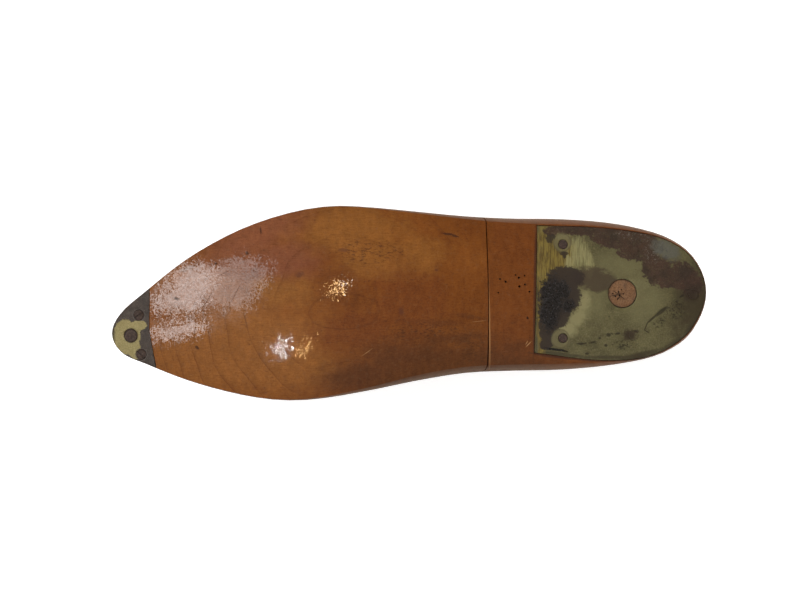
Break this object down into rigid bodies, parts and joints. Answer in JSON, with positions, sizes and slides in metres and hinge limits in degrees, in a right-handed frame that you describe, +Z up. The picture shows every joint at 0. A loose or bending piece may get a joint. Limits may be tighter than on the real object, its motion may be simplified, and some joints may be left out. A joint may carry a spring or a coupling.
{
  "type": "hinged shoe last",
  "caption": "Hinged wooden shoe last for a left foot, a full-length shoe tree in form, with steel plates let into the sole at heel and toe and a jack socket in its cone.",
  "frame": {"origin": "centre of the bounding box in X and Y, at the height of the flat cone top that the last lies on, sole up", "axes": "+X from the toe to the heel, +Y towards the outer (lateral) side of the foot, +Z up, out of the sole"},
  "size_m": [0.284, 0.0919, 0.09],
  "materials": {
    "maple": "worn glossy varnish over maple",
    "plug_wood": "bare end grain",
    "plate_steel": "yellowed lacquer, stained and rusted",
    "rusted_steel": "dark rust",
    "bright_steel": "oiled, slightly tarnished"
  },
  "bodies": {
    "heel": {"heel_part": "maple", "heel_plate": "plate_steel", "heel_plug": "plug_wood", "heel_nail_front_outer": "rusted_steel", "heel_nail_front_inner": "rusted_steel", "heel_nail_middle_outer": "rusted_steel", "heel_nail_middle_inner": "rusted_steel", "heel_nail_back": "rusted_steel", "jack_socket": "bright_steel", "hinge_pin_rear": "bright_steel"},
    "link": {"hinge_link": "bright_steel", "hinge_spring": "bright_steel"},
    "fore": {"forepart": "maple", "toe_plate": "plate_steel", "toe_rivet": "rusted_steel", "toe_screw_outer": "rusted_steel", "toe_screw_inner": "rusted_steel", "hinge_pin_front": "bright_steel"}
  },
  "joints": [
    {"name": "link_swing", "type": "hinge", "parent": "heel", "child": "link", "pos_m": [0.04156, 0.00489, 0.04012], "axis": [0.0244, -0.9997, 0], "range_deg": [0, 10], "deforming": ["hinge_spring"]},
    {"name": "forepart_fold", "type": "hinge", "parent": "link", "child": "fore", "pos_m": [0.01787, 0.00431, 0.04388], "axis": [0.0244, -0.9997, 0], "range_deg": [0, 10], "stiffness_Nm_per_rad": 3, "springref_deg": -28.65, "deforming": ["hinge_spring"]}
  ],
  "couplings": [
    {"joint": "link_swing", "follows": "forepart_fold", "ratio": 1}
  ]
}
